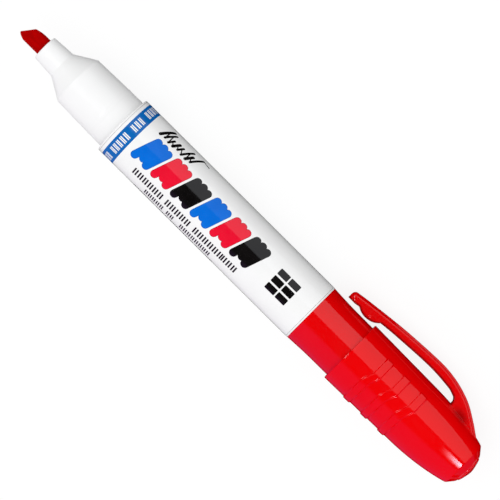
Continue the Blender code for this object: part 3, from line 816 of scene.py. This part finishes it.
def clip_lines():
    """The lines across the clip's side as (point on its outer outline, way inward from there, depth of the
    point on its inner outline, width of the terrace). They fan out round the corner at its tip."""
    lines = []
    for i, z in enumerate(steps(8.76, 9.95, 0.2)):
        terrace = 0.8 - 0.72 * smooth_step(9.2, 9.95, z)
        lines.append(((CLIP_TIP, z), (1.0, 0.0), CLIP_TIP + 2.0 + 0.01 * i, terrace))
    centre = Vector((CLIP_TIP + CLIP_CORNER, curve_at(CLIP_OUTER, CLIP_TIP + CLIP_CORNER) - CLIP_CORNER))
    for i in range(10):
        angle = math.radians(97 * i / 9)
        way = Vector((math.cos(angle), -math.sin(angle)))
        lines.append((centre - way * CLIP_CORNER, way, CLIP_TIP + 2.08 + 0.01 * i, 0.08 - 0.008 * i))
    for depth in [*steps(-7.0, 0.9, 0.2), *steps(1.4, 24.1, 0.6), *steps(24.3, 25.2, 0.15)]:
        lines.append(((depth, curve_at(CLIP_OUTER, depth)), outer_way(depth), depth, 0.0))
    return lines


def outer_way(depth):
    """The way straight inward from the clip's outer outline."""
    slope = (curve_at(CLIP_OUTER, depth + 0.05) - curve_at(CLIP_OUTER, depth - 0.05)) / 0.1
    return Vector((slope, -1.0)).normalized()


def edge_of_side(outer, way, terrace=0.0):
    """The ring's points (depth, y, radius) from the middle of the outer face to the clip's side. The bevel
    outside the groove is steeper at the tip, and settles towards the root."""
    steepness = 1 + 1.1 * (1 - smooth_step(-3.0, 6.0, outer[0]))
    half = CLIP_WIDTH / 2
    points = []
    groove_start, groove_inset = TERRACE[1]
    for inward, inset in EDGE_SECTION:
        if inward >= groove_start:
            inward += terrace
        else:
            inset = groove_inset + (inset - groove_inset) * steepness
        place = Vector(outer) + Vector(way) * inward
        points.append((place.x, half - inset, place.y))
    return points


def mirrored_ring(side):
    ring = [(CAP_RIM - depth, y, radius) for depth, y, radius in side]
    return ring + [(x, -y, z) for x, y, z in reversed(ring)]


def arm_ring(outer, way, inner_depth, terrace):
    half = CLIP_WIDTH / 2
    side = edge_of_side(outer, way, terrace)
    radius = clip_inner_radius(inner_depth)
    start = side[-1]
    edge = min(CLIP_UNDER_EDGE, max(start[2] - radius - 0.02, 0.02))
    end = (inner_depth, half, radius + edge)
    for share in (0.25, 0.5, 0.66, 0.8, 0.91):
        side.append(tuple(a + (b - a) * share for a, b in zip(start, end)))
    for i in range(5):
        angle = math.pi / 2 * i / 4
        inset = edge * (1 - math.cos(angle))
        side.append((inner_depth, half - inset, radius + edge * (1 - math.sin(angle))))
    side += [(inner_depth, half - 0.7, radius), (inner_depth, half - 1.4, radius)]
    return mirrored_ring(side)


def root_ring(depth):
    """A ring where the clip stands on the cap. The foot of its side turns out into the cap's surface."""
    half, flare = CLIP_WIDTH / 2, CLIP_ROOT_FLARE
    side = edge_of_side((depth, curve_at(CLIP_OUTER, depth)), outer_way(depth))
    start = side[-1]
    base = cap_radius(start[0])
    foot = math.sqrt(base**2 - (half + flare) ** 2) - 0.03
    top = min(foot + flare * 1.4, start[2])
    for share in (0.3, 0.55, 0.75, 0.9, 0.985):
        side.append((start[0], half, start[2] + (top - start[2]) * share))
    for i in range(5):
        angle = math.pi / 2 * i / 4
        side.append((start[0], half + flare * (1 - math.cos(angle)), top - (top - foot) * math.sin(angle)))
    side.append((start[0], half + flare, foot - 0.5))
    side.append((start[0], half - 0.7, foot - 0.5))
    return mirrored_ring(side)


def clip_painted_shade(point):
    """Painted shade: darker along the clip's inner edge, and where its root's side meets the cap."""
    depth = CAP_RIM - point.x
    if depth < CLIP_ROOT_DEPTH:
        return 0.45 + 0.55 * smooth_step(0.25, 0.62, point.z - clip_inner_radius(depth))
    corner = math.sqrt(cap_radius(depth) ** 2 - (CLIP_WIDTH / 2) ** 2)
    return painted_root_shade(depth, point.z - corner)


def add_clip():
    """The clip's arm and the root that it grows out of, as one skin."""
    rings = [arm_ring(*line) for line in clip_lines()]
    rings += [root_ring(depth) for depth in steps(CLIP_ROOT_DEPTH, 36.2, 0.25)]
    clip = lofted("pocket_clip_arm", rings, None, CLIP_SHADED_RED)
    clip.data.set_sharp_from_angle(angle=math.radians(40))
    # Paints shade into the clip's colour along its inner edge and at its root.
    paint_shade_on_points(clip, clip_painted_shade)
    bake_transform(clip)
    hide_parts("pocket_clip")


def add_clip_dots():
    """The small round mark that the mould's pin leaves on either side of the clip's bump."""
    for side in (-1, 1):
        rings = []
        for height, radius in ((-0.1, 0.38), (0.02, 0.37), (0.07, 0.31), (0.12, 0.2), (0.14, 0.08)):
            ring = []
            for i in range(24):
                turn = 2 * math.pi * i / 24 * side
                x = CAP_RIM - CLIP_DOT_DEPTH + radius * math.sin(turn)
                ring.append((x, side * (CLIP_WIDTH / 2 + height), CLIP_DOT_HEIGHT + radius * math.cos(turn)))
            rings.append(ring)
        dot = lofted("clip_dot_near" if side > 0 else "clip_dot_far", rings, "clip", DOT_SHADED_RED)


# ---- The stage ------------------------------------------------------------------------------------------
def add_floor():
    size = 8.0
    mesh = bpy.data.meshes.new("floor")
    corners = [(-size, -size, 0), (size, -size, 0), (size, size, 0), (-size, size, 0)]
    mesh.from_pydata(corners, [], [(0, 1, 2, 3)])
    floor = bpy.data.objects.new("floor", mesh)
    bpy.context.scene.collection.objects.link(floor)
    # A white table lit from within, so that the shadow under the marker stays faint.
    nodes = Nodes("pale_floor")
    nodes.set(Roughness=0.9, Specular_IOR_Level=0.0)
    nodes.colours(nodes.noise(nodes.place, 9), (0.12, 0.12, 0.1205), (0.123, 0.123, 0.123))
    nodes.shader.inputs["Emission Color"].default_value = (1, 1, 1, 1)
    nodes.shader.inputs["Emission Strength"].default_value = 0.88
    mesh.materials.append(nodes.material)
    # The world's light stands in for the light that a floor would throw back.
    floor.visible_diffuse = False
    floor.visible_glossy = False
    floor.visible_transmission = False
    floor.visible_shadow = False


def glow_at(stops, place):
    """The glow at a place, straight between stops of (place, glow)."""
    if place <= stops[0][0]:
        return stops[0][1]
    for (near, low), (far, high) in zip(stops, stops[1:]):
        if place <= far:
            return low + (high - low) * (place - near) / (far - near)
    return stops[-1][1]


def card(name, radius, angles, stations, along, across, tint):
    """A large softly glowing card, bent round the marker's axis, that is seen only in the marker's gloss. Its
    angles are in degrees from the camera's side towards the clip. Its glow is the product of two lists of
    stops: along, by station, and across, by angle."""
    columns, rows = 96, 48
    points, faces, glows = [], [], []
    for i in range(columns + 1):
        x = stations[0] + (stations[1] - stations[0]) * i / columns
        for j in range(rows + 1):
            degrees = angles[0] + (angles[1] - angles[0]) * j / rows
            angle = math.radians(degrees)
            points.append((x, radius * math.cos(angle), radius * math.sin(angle)))
            glow = glow_at(along, x) * glow_at(across, degrees)
            glows += [glow * tint[0], glow * tint[1], glow * tint[2], 1.0]
    for i in range(columns):
        for j in range(rows):
            a = i * (rows + 1) + j
            faces.append((a, a + 1, a + rows + 2, a + rows + 1))
    made = new_piece(name, points, faces, None)
    made.data.color_attributes.new("glow", "FLOAT_COLOR", "POINT").data.foreach_set("color", glows)
    material = bpy.data.materials.new(name)
    material.use_nodes = True
    tree = material.node_tree
    tree.nodes.remove(tree.nodes["Principled BSDF"])
    emission = tree.nodes.new("ShaderNodeEmission")
    glow = tree.nodes.new("ShaderNodeVertexColor")
    glow.layer_name = "glow"
    tree.links.new(glow.outputs["Color"], emission.inputs["Color"])
    tree.links.new(emission.outputs["Emission"], tree.nodes["Material Output"].inputs["Surface"])
    material.cycles.emission_sampling = "NONE"
    made.data.materials.append(material)
    made.visible_camera = False
    made.visible_diffuse = False
    made.visible_transmission = False
    made.visible_shadow = False


def add_cards():
    even = [(0, 1.0)]
    brighter_ahead = [(-760, 0.68), (-100, 0.72), (150, 1.05), (620, 1.15)]
    card("softbox", 600, (7.8, 68), (-760, 620), brighter_ahead, even, (0.97, 1.0, 1.05))
    streak = [(-650, 18), (-465, 17.5), (-451, 15.4), (-421, 12), (-394, 9.6), (-368, 5.1), (-342, 2.4),
              (-319, 0.7), (-290, 0)]
    soft_foot = [(-34, 0), (-28, 0.15), (-24, 0.55), (-18, 0.95), (-10, 1.05), (-8, 1.05), (-5.4, 0.85)]
    card("window", 600, (-34, -5.4), (-650, -290), streak, soft_foot, (0.93, 1.0, 1.2))
    soft_top = [(-150, 0.8), (-100, 0.95), (-60, 1.0), (-48, 0.9), (-36, 0.0)]
    card("far_wall", 640, (-150, -36), (-700, 700), even, soft_top, (0.22, 0.095, 0.32))
    card("end_wall", 250, (-180, 180), (-2600, -420), even, even, (0.1, 0.07, 0.2))
    beside = [(150, 0), (165, 1), (195, 1), (210, 0)]
    card("end_glow", 500, (150, 210), (-1200, -430), even, beside, (0.68, 0.54, 0.68))
    fading = [(120, 0), (260, 1), (620, 1), (1100, 0.2)]
    card("nib_side", 600, (-32, -6), (120, 1100), fading, even, (5.0, 5.0, 5.5))


def add_world():
    """Soft light from all round the marker's axis, strongest from above and from the camera's side."""
    world = bpy.data.worlds.new("studio")
    bpy.context.scene.world = world
    world.use_nodes = True
    tree = world.node_tree
    background = tree.nodes["Background"]
    way = tree.nodes.new("ShaderNodeTexCoord").outputs["Generated"]
    parts = []
    for direction in (TOWARDS_CLIP, TOWARDS_CAMERA):
        dot = tree.nodes.new("ShaderNodeVectorMath")
        dot.operation = "DOT_PRODUCT"
        dot.inputs[1].default_value = direction
        tree.links.new(way, dot.inputs[0])
        parts.append(dot.outputs["Value"])
    angle = tree.nodes.new("ShaderNodeMath")
    angle.operation = "ARCTAN2"
    tree.links.new(parts[0], angle.inputs[0])
    tree.links.new(parts[1], angle.inputs[1])
    share = tree.nodes.new("ShaderNodeMapRange")
    share.inputs["From Min"].default_value = -math.pi
    share.inputs["From Max"].default_value = math.pi
    tree.links.new(angle.outputs["Value"], share.inputs["Value"])
    ramp = tree.nodes.new("ShaderNodeValToRGB")
    stops = ramp.color_ramp.elements
    # (degrees from the camera's side towards the clip, light)
    bands = [(-175, 0.45), (-150, 1.0), (-60, 0.97), (-25, 1.25), (12, 1.3), (40, 0.95), (62, 0.95)]
    bands += [(80, 0.28), (175, 0.28)]
    while len(stops) < len(bands):
        stops.new(0.5)
    strongest = max(light for _, light in bands)
    for stop, (degrees, light) in zip(stops, bands):
        stop.position = (degrees + 180) / 360
        stop.color = (light / strongest,) * 3 + (1,)
    tree.links.new(share.outputs["Result"], ramp.inputs["Fac"])
    tree.links.new(ramp.outputs["Color"], background.inputs["Color"])
    background.inputs["Strength"].default_value = strongest
    world.cycles_visibility.glossy = False


def add_camera():
    """A long lens square to the marker's side, turned so that the marker runs down across the picture."""
    distance = 911.0
    foot = -21.0  # the station opposite the camera
    aim = Vector((-0.47, 0.0, 0.33))  # what is in the middle of the picture, in the marker's millimetres
    turn = math.radians(44.85)  # between the marker's axis and the picture's width
    place = MARKER @ (Vector((foot, distance, 0)) * MM)
    forward = (MARKER @ (aim * MM) - place).normalized()
    right = -ALONG * math.cos(turn) + TOWARDS_CLIP * math.sin(turn)
    right = (right - forward * right.dot(forward)).normalized()
    up = right.cross(forward)
    data = bpy.data.cameras.new("camera")
    data.lens = 280.8
    data.sensor_width = 36.0
    camera = bpy.data.objects.new("camera", data)
    bpy.context.scene.collection.objects.link(camera)
    rotation = Matrix((right, up, -forward)).transposed().to_4x4()
    camera.matrix_world = Matrix.Translation(place) @ rotation
    bpy.context.scene.camera = camera


add_camera()
add_nib()
add_nose()
add_barrel()
add_label()
add_tail()
add_cap_shell()
add_cap_end()
add_seal()
add_clip()
add_clip_dots()
for node, material in (("ink_reservoir", FIBRE_CORE), ("reservoir_film", CLEAR_FILM)):
    frame["nodes"][node].material_slots[0].material = material
add_floor()
add_cards()
add_world()
bpy.context.scene.view_settings.view_transform = "Standard"
